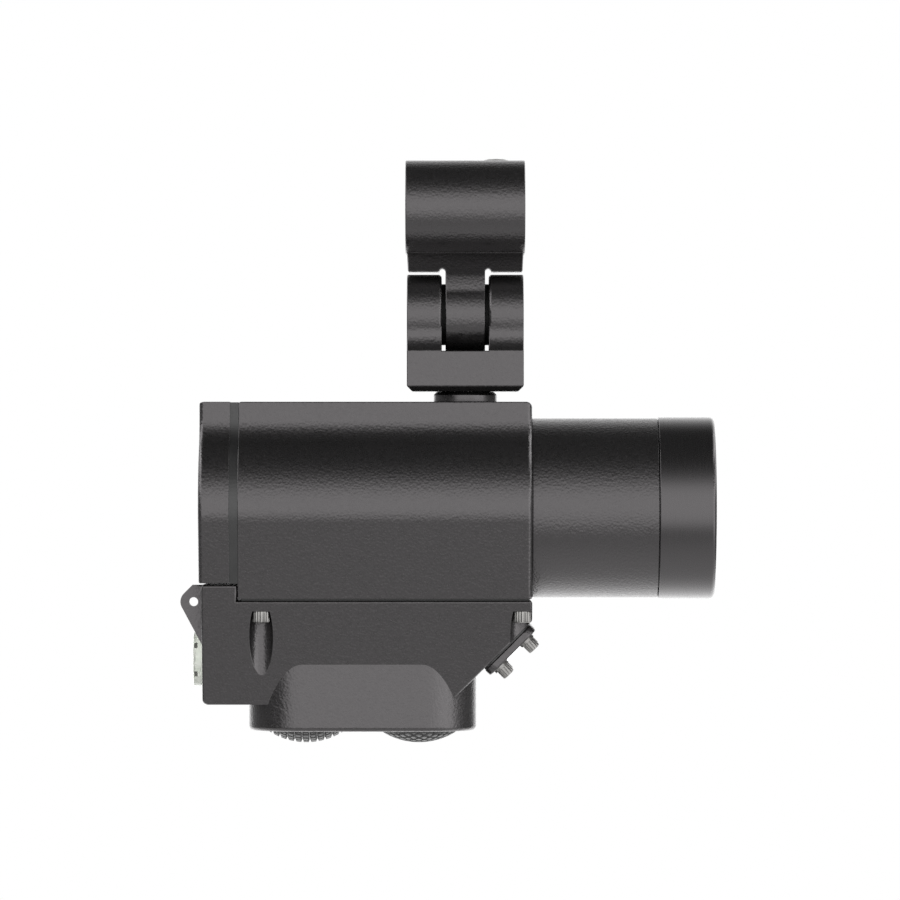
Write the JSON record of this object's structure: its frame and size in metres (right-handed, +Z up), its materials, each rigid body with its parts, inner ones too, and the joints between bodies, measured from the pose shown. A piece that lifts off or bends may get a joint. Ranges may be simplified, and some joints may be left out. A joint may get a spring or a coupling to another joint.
{
  "type": "firefighter flashlight",
  "caption": "Helmet-brim light in black cast aluminium with a spot head, a downward flood lamp, a rear marker lens, push buttons and a tilting, swivelling brim clamp.",
  "frame": {"origin": "middle of the brim throat's height, on the swivel axis and in the light's middle plane", "axes": "+X along the spot beam, +Y out of the brim throat's mouth, +Z up from the light to the clamp"},
  "size_m": [0.101, 0.038, 0.1109],
  "materials": {
    "cast_black": "black anodised casting with a fine leathery grain",
    "smooth_black": "black anodised, turned smooth",
    "black_rubber": "matte moulded rubber",
    "steel": "bright machine screws",
    "brass": "sheet and wire contacts",
    "board": "solder-masked board",
    "clear": "clear polycarbonate",
    "marker_lens": "clear resin with a faint green tint",
    "mirror": "vacuum-metallised bowl",
    "heat_sink": "bare turned aluminium",
    "led": "phosphor-coated lamp",
    "cell": "plain sleeve over a steel can",
    "washer": "black nylon"
  },
  "bodies": {
    "clamp": {"brim_clamp": "cast_black"},
    "pad_right": {"clamp_pad_right": "black_rubber"},
    "screw_right": {"clamp_screw_right": "steel"},
    "pad_left": {"clamp_pad_left": "black_rubber"},
    "screw_left": {"clamp_screw_left": "steel"},
    "fork": {"tilt_fork": "cast_black", "tilt_bolt": "steel", "tilt_nut": "steel", "friction_washers": "washer"},
    "door": {"battery_door": "cast_black", "door_gasket": "black_rubber", "door_screws": "steel", "door_contact": "brass"},
    "spot_button": {"spot_button": "black_rubber"},
    "flood_button": {"flood_button": "black_rubber"},
    "lamp": {"swivel_collar": "smooth_black", "swivel_screw": "steel", "upper_housing": "cast_black", "head_barrel": "cast_black", "bezel_ring": "smooth_black", "front_lens": "clear", "lens_gasket": "black_rubber", "reflector": "mirror", "heat_sink": "heat_sink", "led_star": "board", "led_emitter": "led", "battery_right": "cell", "battery_left": "cell", "contact_board": "board", "contact_springs": "brass", "lower_housing": "cast_black", "housing_gasket": "black_rubber", "housing_screws": "steel", "flood_bezel": "cast_black", "flood_lens": "clear", "flood_gasket": "black_rubber", "flood_led_board": "board", "flood_leds": "led", "flood_screws": "steel", "flood_washers": "steel", "rear_lens": "marker_lens", "rear_led_board": "board", "switch_board": "board", "tact_switches": "black_rubber"}
  },
  "joints": [
    {"name": "tilt", "type": "hinge", "parent": "clamp", "child": "fork", "pos_m": [0, 0, -0.0204], "axis": [1, 0, 0], "range_deg": [-75, 75]},
    {"name": "swivel", "type": "hinge", "parent": "fork", "child": "lamp", "pos_m": [0, 0, -0.037], "axis": [0, 0, 1], "continuous": true},
    {"name": "door_pull", "type": "slide", "parent": "lamp", "child": "door", "axis": [-1, 0, 0], "range_m": [0, 0.02]},
    {"name": "spot_button_press", "type": "slide", "parent": "lamp", "child": "spot_button", "axis": [0, 0, 1], "range_m": [0, 0.0012], "stiffness_N_per_m": 1200, "springref_m": -0.0008},
    {"name": "flood_button_press", "type": "slide", "parent": "lamp", "child": "flood_button", "axis": [0, 0, 1], "range_m": [0, 0.0012], "stiffness_N_per_m": 1200, "springref_m": -0.0008},
    {"name": "clamp_pad_right_travel", "type": "slide", "parent": "clamp", "child": "pad_right", "axis": [0, 0, -1], "range_m": [0, 0.004]},
    {"name": "clamp_screw_right_turn", "type": "hinge", "parent": "pad_right", "child": "screw_right", "pos_m": [0.0059, 0.0045, 0], "axis": [0, 0, -1], "range_deg": [0, 1441]},
    {"name": "clamp_pad_left_travel", "type": "slide", "parent": "clamp", "child": "pad_left", "axis": [0, 0, -1], "range_m": [0, 0.004]},
    {"name": "clamp_screw_left_turn", "type": "hinge", "parent": "pad_left", "child": "screw_left", "pos_m": [-0.0059, 0.0045, 0], "axis": [0, 0, -1], "range_deg": [0, 1441]}
  ],
  "couplings": [
    {"joint": "clamp_screw_right_turn", "follows": "clamp_pad_right_travel", "rad_per_m": 6283.2},
    {"joint": "clamp_screw_left_turn", "follows": "clamp_pad_left_travel", "rad_per_m": 6283.2}
  ]
}
